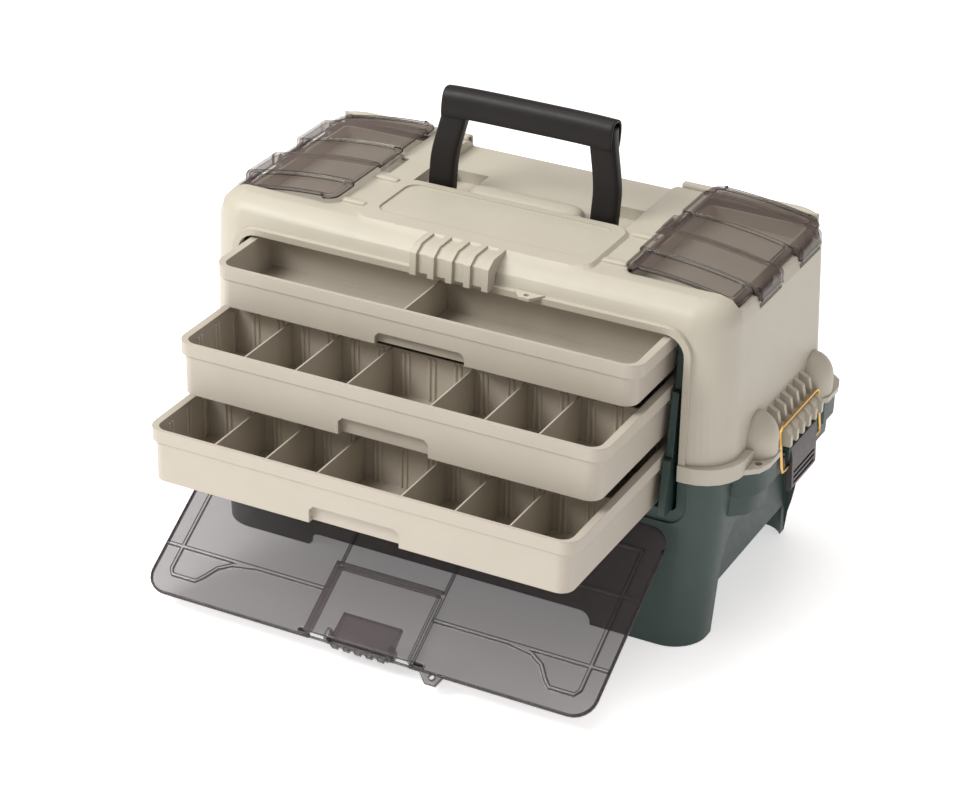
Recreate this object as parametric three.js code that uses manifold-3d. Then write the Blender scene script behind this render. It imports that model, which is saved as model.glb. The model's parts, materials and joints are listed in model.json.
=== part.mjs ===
// A three-drawer fishing tackle box: a moulded base on four legs, a hinged hood with two bins under clear
// lids, a folding handle, a fold-down clear front door, three sliding drawers and three wire latches.
// Millimetres. X runs left to right, Z up from the floor. Y runs to the back from the plane of the
// drawer opening; the last lines move the whole box so that its bounding box is centred on the origin.
import * as THREE from "three";
import { mergeVertices } from "three/addons/utils/BufferGeometryUtils.js";
import Module from "manifold-3d";

const wasm = await Module();
wasm.setup();

// ---- Driving sizes ----
const HALF_LENGTH = 252; // hood at the seam, centre to side
const DEPTH = 243; // hood at the seam, opening plane to back
const SEAM = 160; // height at which hood and base meet
const TOP = 318; // height of the hood's top
const CORNER = 36; // corner radius in plan
const WALL = 3;
const GAP = 0.4; // between pieces that touch
const TOP_INSET = 6; // how far the hood's sides lean in by its top
const TOP_ROUND = 22; // radius of the hood's top edge

const OPENING = { halfWidth: 211.5, bottom: 130, top: 291, corner: 18 };
const RIM = { out: 5, height: 15 }; // the hood's flange along the seam
const BASE = { halfFoot: 236, panel: 226, floor: 30, skin: 3.5, archTop: 104, archFront: 34, archBack: 226 };
const DRAWER = { half: 199, inset: 4.5, depth: 220, flange: 12, corner: 14, wall: 2.4, closedFront: 4, rowWall: 86,
  fingerDeep: 7 };
const DRAWERS = [
  { name: "top", top: 288, bottom: 250.5, pull: 66, notch: 11, dividers: [-20], rear: [],
    carrier: { low: 239, high: 289.5, frontLow: 8, frontHigh: 13 } },
  { name: "middle", top: 242, bottom: 194, pull: 127.5, notch: 16, rear: [-66, 66],
    carrier: { low: 181, high: 238.6, frontLow: -4, frontHigh: 3 } },
  { name: "bottom", top: 182.5, bottom: 134.5, pull: 176, notch: 16, rear: [-66, 66],
    carrier: { low: 130.6, high: 180.6, frontLow: -16, frontHigh: -9 } },
];
const DIVIDER_X = [39, 88, 137]; // either side of the middle
const DIVIDER = { thick: 1.6, below: 3 };
const LID = { inner: 137.5, outer: 238, front: 38, back: 226, top: 322, drop: 11.5, thick: 2.6, corner: 10 };
const BAND = { starts: [72, 160], width: 46, rise: 2.6, end: 246 };
const LID_PIN = { x: 243.5, z: 300, radius: 1.4, knuckle: 3.2 };
const HANDLE = { pivotY: 125, pivotZ: 308, topOut: 80, footOut: 90.5, leg: 25, legDeep: 14, height: 98, grip: 26,
  gripDeep: 22, lean: 8.5, pin: 3 };
const DOOR = { half: 214, length: 181, thick: 2.6, corner: 20, hingeY: -12, hingeZ: 114.5, slope: 32.3, channel: 51,
  boxHigh: 9 };
const DOOR_LATCH = { pivotY: -176, pivotZ: -2, leverEnd: -150, tip: -181, ears: 30 };
const LATCH = { y: 135, catchHalf: 38, leverHalf: 28, ears: 30.4, reach: 44, pivotX: 266, pivotZ: 150, leverBottom: 112,
  bailZ: 137, barX: 264.6, barZ: 178, wire: 1.4, headRoom: 6.5 };

const HOOD_HINGE = { y: DEPTH + 4, z: SEAM };

const COLOURS = {
  green: { color: 0x324842, roughness: 0.5 },
  beige: { color: 0xd9d3c3, roughness: 0.45 },
  drawer: { color: 0xd6cdbf, roughness: 0.4 },
  smoke: { color: 0x5b5350, roughness: 0.15 },
  black: { color: 0x2c2826, roughness: 0.5 },
  grey: { color: 0x57504c, roughness: 0.45 },
  brass: { color: 0xaa7d28, roughness: 0.3, metalness: 1 },
  steel: { color: 0xb4b4b4, roughness: 0.35, metalness: 1 },
};

const box = new THREE.Group();

// ---- Solids from three.js geometry ----

// A closed three.js geometry as a manifold-3d solid.
function solid(geometry) {
  geometry.deleteAttribute("normal");
  geometry.deleteAttribute("uv");
  const merged = mergeVertices(geometry, 1e-4);
  return new wasm.Manifold(new wasm.Mesh({
    numProp: 3,
    vertProperties: new Float32Array(merged.attributes.position.array),
    triVerts: new Uint32Array(merged.index.array),
  }));
}

function join(first, ...rest) {
  return rest.reduce((sum, s) => sum.add(s), first);
}

function cut(from, ...tools) {
  return tools.reduce((left, s) => left.subtract(s), from);
}

function block(x0, x1, y0, y1, z0, z1) {
  const g = new THREE.BoxGeometry(x1 - x0, y1 - y0, z1 - z0);
  g.translate((x0 + x1) / 2, (y0 + y1) / 2, (z0 + z1) / 2);
  return solid(g);
}

// A rectangle with round corners.
function roundRect(x0, x1, y0, y1, r) {
  const s = new THREE.Shape();
  s.moveTo(x0 + r, y0);
  s.lineTo(x1 - r, y0);
  s.absarc(x1 - r, y0 + r, r, -Math.PI / 2, 0, false);
  s.lineTo(x1, y1 - r);
  s.absarc(x1 - r, y1 - r, r, 0, Math.PI / 2, false);
  s.lineTo(x0 + r, y1);
  s.absarc(x0 + r, y1 - r, r, Math.PI / 2, Math.PI, false);
  s.lineTo(x0, y0 + r);
  s.absarc(x0 + r, y0 + r, r, Math.PI, 1.5 * Math.PI, false);
  return s;
}

function outline(points) {
  return new THREE.Shape(points.map(([x, y]) => new THREE.Vector2(x, y)));
}

function prism(shape, depth, options = {}) {
  return new THREE.ExtrudeGeometry(shape, { depth, bevelEnabled: false, curveSegments: 3, ...options });
}

// A plan shape raised from z0 to z1.
function upright(shape, z0, z1, options) {
  return solid(prism(shape, z1 - z0, options).translate(0, 0, z0));
}

// A shape drawn in X and Z, from y0 back to y1.
function alongY(shape, y0, y1, options) {
  return solid(prism(shape, y1 - y0, options).rotateX(Math.PI / 2).translate(0, y1, 0));
}

// A shape drawn in Y and Z, from x0 to x1.
function alongX(shape, x0, x1, options) {
  const turned = new THREE.Matrix4().makeBasis(
    new THREE.Vector3(0, 1, 0), new THREE.Vector3(0, 0, 1), new THREE.Vector3(1, 0, 0));
  return solid(prism(shape, x1 - x0, options).applyMatrix4(turned).translate(x0, 0, 0));
}

function disc(x, y, r) {
  const s = new THREE.Shape();
  s.absarc(x, y, r, 0, 2 * Math.PI, false);
  return s;
}

function rod(axis, from, to, a, b, r) {
  if (axis === "x") return alongX(disc(a, b, r), from, to, { curveSegments: 6 });
  if (axis === "y") return alongY(disc(a, b, r), from, to, { curveSegments: 6 });
  return upright(disc(a, b, r), from, to, { curveSegments: 6 });
}

function mirrored(s) {
  return s.mirror([1, 0, 0]);
}

function both(s) {
  return s.add(mirrored(s));
}

// A round-cornered block that changes evenly from one plan size at z0 to another at z1. round is the
// radius of its top and bottom edges.
function leaning({ low, high, r, z0, z1, round = 0 }) {
  const { half, front, back } = low;
  const plan = roundRect(-half + round, half - round, front + round, back - round, r - round);
  const g = prism(plan, z1 - z0 - 2 * round, {
    bevelEnabled: round > 0,
    bevelThickness: round,
    bevelSize: round,
    bevelSegments: 3,
    curveSegments: 5,
  });
  g.translate(0, 0, z0 + round);
  const p = g.attributes.position;
  const lowMid = (front + back) / 2;
  const highMid = (high.front + high.back) / 2;
  for (let i = 0; i < p.count; i++) {
    const t = (p.getZ(i) - z0) / (z1 - z0);
    const depthScale = 1 + t * ((high.back - high.front) / (back - front) - 1);
    p.setX(i, p.getX(i) * (1 + t * (high.half / half - 1)));
    p.setY(i, lowMid + t * (highMid - lowMid) + (p.getY(i) - lowMid) * depthScale);
  }
  return solid(g);
}

// Adds a solid to the box as a named mesh.
function piece(name, s, colour, parent = box) {
  const m = s.getMesh();
  const g = new THREE.BufferGeometry();
  g.setAttribute("position", new THREE.BufferAttribute(new Float32Array(m.vertProperties), 3));
  g.setIndex(new THREE.BufferAttribute(new Uint32Array(m.triVerts), 1));
  g.computeVertexNormals();
  const mesh = new THREE.Mesh(g, new THREE.MeshStandardMaterial({ metalness: 0, ...COLOURS[colour] }));
  mesh.name = name;
  parent.add(mesh);
  return mesh;
}

// ---- Base: a tub on four corner legs, with a deep arch in each side ----
function makeBase() {
  const outer = leaning({
    low: { half: BASE.halfFoot, front: -7, back: DEPTH - 8 },
    high: { half: HALF_LENGTH - 4, front: -1, back: DEPTH - 3 },
    r: CORNER - 4,
    z0: 0,
    z1: SEAM - GAP,
  });
  const inside = upright(
    roundRect(-BASE.panel + BASE.skin, BASE.panel - BASE.skin, 1.5, DEPTH - 12, 20), BASE.floor + WALL, OPENING.bottom - 6);
  const upper = upright(
    roundRect(-HALF_LENGTH + 9, HALF_LENGTH - 9, WALL, DEPTH - 8, 28), BASE.archTop + WALL + 3, SEAM + 1);
  const { archTop, archFront, archBack } = BASE;
  const arch = alongX(outline([
    [archFront, -40], [archFront, archTop - 34], [archFront + 8, archTop - 14], [archFront + 20, archTop - 3],
    [archFront + 34, archTop], [archBack - 48, archTop], [archBack - 30, archTop - 8], [archBack - 12, archTop - 34],
    [archBack, archTop - 84], [archBack, -40]]), BASE.panel, HALF_LENGTH + 30);
  const under = upright(roundRect(-BASE.panel - 4, BASE.panel + 4, 0, DEPTH - 16, 24), -1, BASE.floor);
  const frontRelief = alongY(roundRect(-140, 140, -20, 12, 10), -20, 50);
  const backRelief = alongY(roundRect(-140, 140, -20, 12, 10), 190, DEPTH + 20);
  const mouth = alongY(
    roundRect(-OPENING.halfWidth, OPENING.halfWidth, OPENING.bottom, SEAM + 60, 5), -20, WALL + 1);
  // The door's seat: a shallow step round the mouth that runs into a step under the seam.
  const seat = alongY(roundRect(-220, 220, 118, SEAM + 60, 16), -20, -0.6);
  const bay = LATCH.pivotX - LATCH.headRoom;
  const housing = both(join(
    upright(latchPlan(230, 268, bay), 138, SEAM - GAP), upright(latchPlan(230, 262, bay - 4), 118, 139)));
  const latchEars = [-1, 1].map((side) => both(alongX(
    roundRect(LATCH.y + side * LATCH.ears - 1.7, LATCH.y + side * LATCH.ears + 1.7,
      LATCH.pivotZ - 6, LATCH.pivotZ + 6, 1.5), bay - 2, LATCH.pivotX + 4)));
  const pinHoles = both(rod("y", LATCH.y - 36, LATCH.y + 36, LATCH.pivotX, LATCH.pivotZ, 1.9));
  const lugShape = outline([[0, 100], [0, 117], [-15, 117], [-16.5, 112], [-12, 107]]);
  const doorLugs = [-120, 120].map((x) => alongX(lugShape, x - 9, x + 9));
  const doorPin = rod("x", -160, 160, DOOR.hingeY, DOOR.hingeZ, 2);
  const backEars = [-150, 150].map((x) => join(
    alongX(disc(HOOD_HINGE.y, HOOD_HINGE.z, 5.4), x - 12, x + 12),
    block(x - 12, x + 12, DEPTH - 10, HOOD_HINGE.y, SEAM - 14, SEAM)));
  const backPin = rod("x", -172, 172, HOOD_HINGE.y, HOOD_HINGE.z, 2.3);
  let s = join(outer, housing, ...latchEars);
  s = cut(s, inside, upper, arch, mirrored(arch), under, frontRelief, backRelief, mouth, seat);
  s = join(s, ...doorLugs, ...backEars);
  return cut(s, pinHoles, doorPin, backPin);
}

// The plan of the swelling round each side latch, from x = from to out, with a bay for the lever.
function latchPlan(from, out, bay) {
  const front = [[from, 30], [out - 15, 33], [out - 4, 43], [out, 56], [out, 80], [out - 5, 86], [bay, 92]];
  const rear = front.map(([x, y]) => [x, 2 * LATCH.y - y]).reverse();
  return outline([...front, ...rear]);
}

// ---- Hood: the beige upper half, with the drawer opening in front and two bin openings in the top ----
function crown(x0, x1, offset, thick) {
  // The lids' arched section in X and Z: flat at the inner edge, falling towards the outer one.
  const height = (x) => LID.top + offset - LID.drop * ((x - LID.inner) / (LID.outer - LID.inner)) ** 2;
  const xs = Array.from({ length: 7 }, (_, i) => x0 + ((x1 - x0) * i) / 6);
  return outline([...xs.map((x) => [x, height(x) - thick]), ...xs.reverse().map((x) => [x, height(x)])]);
}

function makeHood() {
  const inset = (w) => ({
    low: { half: HALF_LENGTH - w, front: w, back: DEPTH - w },
    high: { half: HALF_LENGTH - TOP_INSET - w, front: 3 + w, back: DEPTH - TOP_INSET - w },
  });
  const below = block(-400, 400, -100, 400, 0, SEAM);
  const outer = cut(leaning({ ...inset(0), r: CORNER, z0: SEAM - 30, z1: TOP, round: TOP_ROUND }), below);
  const inner = leaning({ ...inset(WALL), r: CORNER - WALL, z0: SEAM - 34, z1: TOP - WALL, round: TOP_ROUND - WALL });
  const rim = upright(
    roundRect(-HALF_LENGTH - RIM.out, HALF_LENGTH + RIM.out, -3, DEPTH + 3, CORNER + 3), SEAM, SEAM + RIM.height);
  const rimInner = upright(
    roundRect(-HALF_LENGTH + WALL, HALF_LENGTH - WALL, WALL, DEPTH - WALL, CORNER - WALL), SEAM - 1, SEAM + 30);
  const opening = alongY(
    roundRect(-OPENING.halfWidth, OPENING.halfWidth, 0, OPENING.top, OPENING.corner), -20, 20);
  const bead = alongY(
    roundRect(-OPENING.halfWidth - 6, OPENING.halfWidth + 6, SEAM - 40, OPENING.top + 6, OPENING.corner + 5), -1.5, 9);
  const platform = leaning({
    low: { half: 118, front: 14, back: 119 }, high: { half: 110, front: 22, back: 113 }, r: 18, z0: TOP - 5, z1: TOP + 3 });
  const label = upright(roundRect(-99, 99, 40, 106, 12), TOP + 1.4, TOP + 10);
  // The handle folds back over a low floor that is open at the rear; its feet stand in two slots.
  const floorTop = TOP - 10;
  const tray = block(-106, 106, 110, DEPTH, floorTop - WALL, TOP - 2).intersect(outer);
  const pocket = block(-103, 103, 113, DEPTH + 20, floorTop, TOP + 20);
  const slotWalls = both(block(56, 97, 111, 181, floorTop - 14, floorTop));
  const footSlots = both(block(59, 94, 114, 178, floorTop - 11, TOP + 20));
  const boss = rod("x", -55, 55, HANDLE.pivotY + 2, floorTop - 3, 9);
  const pinWall = both(block(95, 112, HANDLE.pivotY - 10, HANDLE.pivotY + 10, HANDLE.pivotZ - 9, HANDLE.pivotZ + 8));
  const pinHole = rod("x", -108, 108, HANDLE.pivotY, HANDLE.pivotZ, HANDLE.pin + 0.25);
  const binHole = both(upright(
    roundRect(LID.inner - GAP, LID.outer + GAP, LID.front - GAP, LID.back + GAP, LID.corner), TOP - 40, TOP + 20));
  const notches = BAND.starts.map((y) => both(block(
    LID.outer - 4, HALF_LENGTH + 20, y - GAP, y + BAND.width + GAP, LID_PIN.z - 4.2, TOP + 20)));
  // Beside the lid the wall is trimmed to the lid's underside, so that the lid can swing over it.
  const seatTop = (x) => LID.top - LID.thick - GAP - LID.drop * ((x - LID.inner) / (LID.outer - LID.inner)) ** 2;
  const seatStart = LID.outer - LID.corner - 2;
  const seatEnd = HALF_LENGTH + 10;
  const lidSeat = both(alongY(
    outline([...[seatStart, LID.outer - 5, LID.outer + 2, LID.outer + 8, seatEnd].map((x) => [x, seatTop(x)]),
      [seatEnd, TOP + 20], [seatStart, TOP + 20]]), LID.front - GAP, LID.back + GAP));
  const hingeShelf = both(block(LID.outer - 6, LID.outer + 10, 60, 216, LID_PIN.z - 14, LID_PIN.z + 4).intersect(outer));
  const lidPinHoles = both(rod("y", 66, 212, LID_PIN.x, LID_PIN.z, LID_PIN.radius + 0.25));
  const claspRecess = both(block(LID.inner - 9, LID.inner + 2, 121, 157, TOP - 9, TOP + 20));
  // Each side: two domed lugs with a ribbed catch between them, on a flange that swells out round them.
  const skin = HALF_LENGTH - WALL + 0.3;
  const lug = (y) => join(
    solid(new THREE.SphereGeometry(20, 20, 12).scale(1, 1, 1.15).translate(HALF_LENGTH - 2, y, SEAM + 18)),
    upright(disc(HALF_LENGTH - 2, y, 20), SEAM, SEAM + 18, { curveSegments: 10 }));
  const lugs = both(lug(72).add(lug(198)).intersect(block(skin, 280, 0, DEPTH, SEAM, TOP)));
  const ribTop = 190;
  const ribShape = outline([[skin, SEAM], [262, SEAM], [262.6, ribTop - 16], [259, ribTop], [skin, ribTop + 5]]);
  const catchBack = outline([[skin, SEAM], [257, SEAM], [257, ribTop - 10], [skin, ribTop - 1]]);
  const ribs = [0, 1, 2, 3, 4, 5].map((i) => {
    const y = LATCH.y - LATCH.catchHalf + i * 14.2;
    return alongY(ribShape, y, y + 5);
  });
  // Below the wire's bar the catch steps out into a second ribbed block, just over the lever.
  const stepTop = LATCH.barZ - LATCH.wire - 0.8;
  const stepBack = outline([[skin, SEAM], [268.5, SEAM], [268.5, stepTop - 3], [264, stepTop], [skin, stepTop]]);
  const stepRib = outline([[skin, SEAM], [272.8, SEAM], [272.8, stepTop - 6], [268, stepTop], [skin, stepTop]]);
  const stepRibs = [0, 1, 2, 3, 4, 5].map((i) => {
    const y = LATCH.y - LATCH.catchHalf + i * 14.2;
    return alongY(stepRib, y, y + 5);
  });
  const catchSpan = [LATCH.y - LATCH.catchHalf, LATCH.y + LATCH.catchHalf];
  const sideCatch = both(join(
    alongY(catchBack, ...catchSpan), alongY(stepBack, ...catchSpan), ...ribs, ...stepRibs));
  const flare = both(upright(latchPlan(skin, 271, 261.5), SEAM, SEAM + 5));
  const tabHole = both(rod("z", SEAM - 1, SEAM + 6, 263, 50, 3.2));
  // The front catch hangs over the opening's top edge.
  const frontBack = outline([[30, TOP + 1], [2, TOP + 1], [-7, TOP - 4], [-8, 297], [2, 297], [3, 306]]);
  const frontRib = outline([[26, TOP + 3], [0, TOP + 3], [-10, TOP - 3], [-11, 295], [2, 295], [3, 306]]);
  const frontCatch = join(
    alongX(frontBack, -37, 37), ...[0, 1, 2, 3, 4].map((i) => alongX(frontRib, -37 + i * 17, -31 + i * 17)));
  const frontTab = upright(outline([[56, 1], [84, 1], [78, -7], [75, -10.5], [65, -10.5], [62, -7]]), 295.5, 298.5);
  const frontTabHole = rod("z", 290, 305, 70, -5, 2.4);
  const knuckles = [-150, 150].flatMap((x) => [-1, 1].map((side) => alongX(
    roundRect(DEPTH - 2, HOOD_HINGE.y + 5, SEAM - 5, SEAM + 12, 4), x + side * 19 - 6, x + side * 19 + 6)));
  const earRoom = [-150, 150].map((x) => block(x - 12.5, x + 12.5, DEPTH - 14, DEPTH + 12, SEAM - 8, SEAM + 7));
  const backPin = rod("x", -172, 172, HOOD_HINGE.y, HOOD_HINGE.z, 2.3);
  let s = join(outer.add(rim).subtract(inner.add(rimInner)), bead.intersect(block(-300, 300, -5, WALL, SEAM, TOP)));
  s = join(s, platform, tray, slotWalls, pinWall, hingeShelf, flare, lugs, sideCatch, frontCatch, frontTab);
  s = cut(s, opening, pocket, footSlots, label, binHole, lidSeat, ...notches, claspRecess, tabHole, frontTabHole);
  s = join(s, boss, ...knuckles);
  return cut(s, pinHole, lidPinHoles, ...earRoom, backPin);
}

// ---- Bins, lids and their pins ----
function makeBin() {
  const outer = upright(roundRect(LID.inner - 3, LID.outer - 8, LID.front + 1, LID.back - 6, 8), TOP - 25.5, TOP - WALL - 7);
  const inner = upright(roundRect(LID.inner - 1, LID.outer - 10, LID.front + 3, LID.back - 8, 6), TOP - 23.5, TOP + 1);
  return cut(outer, inner);
}

function makeLid() {
  const plan = upright(roundRect(LID.inner, LID.outer, LID.front, LID.back, LID.corner - 1), 250, 350);
  const sheet = alongY(crown(LID.inner, LID.outer + 1, 0, LID.thick), LID.front, LID.back).intersect(plan);
  const bandSection = (offset, thick) => crown(LID.inner, BAND.end, offset, thick);
  const bands = BAND.starts.map((y) => join(
    alongY(bandSection(BAND.rise, LID.thick + BAND.rise), y, y + BAND.width),
    block(BAND.end - 4.4, BAND.end, y, y + BAND.width, LID_PIN.z, LID.top - 12)));
  const knuckles = BAND.starts.map((y) => rod("y", y, y + BAND.width, LID_PIN.x, LID_PIN.z, LID_PIN.knuckle));
  const clasp = block(LID.inner - 7, LID.inner + 3, 123, 155, LID.top - 8, LID.top + 1);
  const pinHole = rod("y", 60, 220, LID_PIN.x, LID_PIN.z, LID_PIN.radius + 0.25);
  return cut(join(sheet, ...bands, ...knuckles, clasp), pinHole);
}

function addLids() {
  const lid = makeLid();
  const bin = makeBin();
  for (const [side, flip] of [["right", false], ["left", true]]) {
    const place = (s) => (flip ? mirrored(s) : s);
    piece(`lid_${side}`, place(lid), "smoke");
    piece(`bin_${side}`, place(bin), "beige");
    BAND.starts.forEach((y, i) => {
      const pin = rod("y", y - 4, y + BAND.width + 4, LID_PIN.x, LID_PIN.z, LID_PIN.radius);
      piece(`lid_pin_${side}_${i ? "rear" : "front"}`, place(pin), "steel");
    });
  }
}

// ---- Handle: a bail with a deep grip, leaning a little to the back ----
function addHandle() {
  const group = new THREE.Group();
  group.position.set(0, HANDLE.pivotY, HANDLE.pivotZ);
  group.rotation.x = -THREE.MathUtils.degToRad(HANDLE.lean);
  box.add(group);
  const { topOut, footOut, leg, height, grip } = HANDLE;
  const legShape = outline([
    [footOut, 4], [footOut - 1, height * 0.35], [topOut + 4, height - 18], [topOut, height],
    [topOut - leg, height], [topOut - leg, height - 20], [footOut - leg, 4]]);
  const foot = alongY(roundRect(footOut - leg, footOut, -8, 8, 7), -7, 7);
  const legs = both(alongY(legShape, -HANDLE.legDeep / 2, HANDLE.legDeep / 2).add(foot));
  const gripSection = roundRect(-HANDLE.gripDeep / 2, HANDLE.gripDeep / 2, height - grip, height, 7);
  const bar = alongX(gripSection, -topOut, topOut);
  const pinHole = rod("x", -120, 120, 0, 0, HANDLE.pin + 0.25);
  piece("handle", cut(join(legs, bar), pinHole), "black", group);
  const pin = rod("x", footOut - leg + 3, 107, HANDLE.pivotY, HANDLE.pivotZ, HANDLE.pin);
  piece("handle_pin_right", pin, "steel");
  piece("handle_pin_left", mirrored(pin), "steel");
}

// ---- Drawers, their dividers and the carriers that they slide in ----
function makeDrawer({ top, bottom, notch }) {
  const { half, inset, depth, flange, corner, wall, rowWall, fingerDeep } = DRAWER;
  const rimBlock = upright(roundRect(-half, half, 0, depth, corner), top - flange, top);
  const body = upright(roundRect(-half + inset, half - inset, 0.8, depth - inset, corner - 2), bottom, top - flange + 1);
  const cavity = upright(
    roundRect(-half + inset + wall, half - inset - wall, 0.8 + wall, depth - inset - wall, corner - 4), bottom + 2, top + 1);
  const rowPlate = block(
    -half + inset + 1, half - inset - 1, rowWall, rowWall + 1.8, bottom + 1, top - 4);
  const finger = alongY(
    outline([[-42, bottom - 5], [-42, bottom + notch - 4], [-38, bottom + notch], [38, bottom + notch],
      [42, bottom + notch - 4], [42, bottom - 5]]), -5, fingerDeep);
  const lipBack = fingerDeep + wall;
  const lip = alongY(outline([[-45, bottom], [-45, bottom + notch + 2], [45, bottom + notch + 2], [45, bottom]]), fingerDeep, lipBack)
    .add(block(-45, 45, 1, lipBack, bottom + notch, bottom + notch + 2))
    .add(both(block(42.6, 45, 1, lipBack, bottom, bottom + notch + 2)));
  return join(cut(join(rimBlock, body), cavity, finger), rowPlate, cut(lip, finger));
}

function addDrawers() {
  DRAWERS.forEach((d) => {
    const group = new THREE.Group();
    group.position.y = DRAWER.closedFront - d.pull;
    box.add(group);
    piece(`drawer_${d.name}`, makeDrawer(d), "drawer", group);
    const front = d.dividers ?? [...DIVIDER_X.map((x) => -x).reverse(), ...DIVIDER_X];
    const deepest = d.bottom + 2 + GAP;
    const highest = d.top - DIVIDER.below - 1;
    front.forEach((x, i) => {
      const near = Math.abs(x) < 45 ? DRAWER.fingerDeep + DRAWER.wall + GAP : DRAWER.wall + 0.8 + GAP;
      const plate = block(x, x + DIVIDER.thick, near, DRAWER.rowWall - GAP, deepest, highest)
        .add(block(x, x + DIVIDER.thick, DRAWER.wall + 0.8 + GAP, 20, d.bottom + d.notch + 2 + GAP, highest));
      piece(`divider_${d.name}_${i + 1}`, plate, "drawer", group);
    });
    d.rear.forEach((x, i) => {
      const back = DRAWER.depth - DRAWER.inset - DRAWER.wall - GAP;
      const plate = block(x, x + DIVIDER.thick, DRAWER.rowWall + 1.8 + GAP, back, deepest, highest);
      piece(`divider_${d.name}_rear_${i + 1}`, plate, "drawer", group);
    });
  });
}

// A plate beside the drawer with a rail that the drawer's flange runs on.
function makeCarrier({ top, carrier }) {
  const { low, high, frontLow, frontHigh } = carrier;
  const back = DEPTH - 14;
  const middle = (low + high) / 2;
  const plate = alongX(outline([[frontLow, low], [back, low], [back, high], [frontHigh, high]]), 201.2, 207.5);
  const railTop = top - DRAWER.flange - 0.5;
  const rail = block(DRAWER.half - DRAWER.inset + 0.8, 202, frontHigh + 3, back, railTop - 5, railTop);
  const groove = block(206, 208, frontHigh + 20, back - 20, middle - 4, middle + 4);
  return cut(join(plate, rail), groove);
}

function addCarriers() {
  DRAWERS.forEach((d) => {
    const carrier = makeCarrier(d);
    piece(`carrier_right_${d.name}`, carrier, "green");
    piece(`carrier_left_${d.name}`, mirrored(carrier), "green");
  });
}

// A flat band of even width along a bent line.
function ribbon(points, width) {
  const p = points.map(([x, y]) => new THREE.Vector2(x, y));
  const side = p.map((at, i) => {
    const along = p[Math.min(i + 1, p.length - 1)].clone().sub(p[Math.max(i - 1, 0)]).normalize();
    return new THREE.Vector2(-along.y, along.x).multiplyScalar(width / 2);
  });
  return outline([
    ...p.map((at, i) => at.clone().add(side[i]).toArray()),
    ...p.map((at, i) => at.clone().sub(side[i]).toArray()).reverse()]);
}

// ---- Front door, drawn flat along -Y from its hinge with the inside up, then laid down on its slope ----
function doorGroup() {
  const group = new THREE.Group();
  group.position.set(0, DOOR.hingeY, DOOR.hingeZ);
  group.rotation.x = THREE.MathUtils.degToRad(DOOR.slope);
  box.add(group);
  return group;
}

function makeDoor() {
  const { half, length, thick, corner, channel } = DOOR;
  const sheet = upright(roundRect(-half, half, -length, 3, corner), -thick, 0);
  // A raised line follows each side edge, turns at the free corner and curves back up to the low cross rib.
  const line = ribbon([
    [half - 17.5, -21], [half - 17.5, -157], [half - 21, -162], [half - 44, -162], [half - 50, -156],
    [half - 58, -145], [half - 70, -138], [half - 90, -135]], 3);
  const ribs = join(
    block(-half + 17, half - 17, -23, -20, -1, 1.6),
    both(join(
      upright(line, -1, 1.6),
      block(channel, half - 1, -136, -133, -1, 1.6),
      block(channel, half - 1, -68, -65, -1, 1.6))));
  const boxOuter = block(-channel, channel, -length + 2, -110, -1, DOOR.boxHigh);
  const boxInner = block(-channel + 3, channel - 3, -length - 1, -113, -thick - 1, DOOR.boxHigh - 2.4);
  const sides = both(block(channel - 2, channel, -112, -12, -1, 2));
  const knuckles = both(join(
    rod("x", 95, 110, 0, 0, 4.2),
    rod("x", 130, 145, 0, 0, 4.2)));
  const lugRoom = both(block(110.6, 129.4, -9, 10, -6, 6));
  const pinHole = rod("x", -170, 170, 0, 0, 2);
  const latchEars = [-1, 1].map((side) =>
    alongX(roundRect(DOOR_LATCH.pivotY - 4.5, DOOR_LATCH.pivotY + 6, DOOR_LATCH.pivotZ - 4, DOOR.boxHigh - 1, 3),
      side * DOOR_LATCH.ears - 1.6, side * DOOR_LATCH.ears + 1.6));
  const tab = upright(outline([[54, -length + 4], [82, -length + 4], [77, -length - 9], [67, -length - 9]]), -thick, 0);
  const tabHole = upright(disc(71, -length - 2, 2.6), -9, 9);
  const latchHole = rod("x", -60, 60, DOOR_LATCH.pivotY, DOOR_LATCH.pivotZ, 1.9);
  let s = join(sheet, ribs, boxOuter, sides, knuckles, tab);
  s = cut(s, boxInner, lugRoom);
  return cut(join(s, ...latchEars), pinHole, tabHole, latchHole);
}

function addDoor() {
  const group = doorGroup();
  piece("front_door", makeDoor(), "smoke", group);
  const doorRod = rod("x", -148, 148, DOOR.hingeY, DOOR.hingeZ, 1.7);
  piece("door_hinge_rod", doorRod, "steel");
  const { pivotY, pivotZ, leverEnd, tip, ears } = DOOR_LATCH;
  const arm = outline([
    [leverEnd, pivotZ - 2], [leverEnd, pivotZ + 2], [pivotY + 6, pivotZ + 3.6], [tip, pivotZ + 3],
    [tip, pivotZ - 2], [pivotY + 6, pivotZ - 4]]);
  const teeth = [0, 1, 2, 3, 4].map((i) =>
    block(-25 + i * 11, -19 + i * 11, tip - 2, tip + 2, pivotZ - 1.6, pivotZ + 2.6));
  const leverHole = rod("x", -60, 60, pivotY, pivotZ, 1.7);
  piece("door_latch_lever", cut(join(alongX(arm, 2 - ears, ears - 2), ...teeth), leverHole), "smoke", group);
  piece("door_latch_pin", rod("x", -ears - 4, ears + 4, pivotY, pivotZ, 1.4), "steel", group);
}

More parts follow.
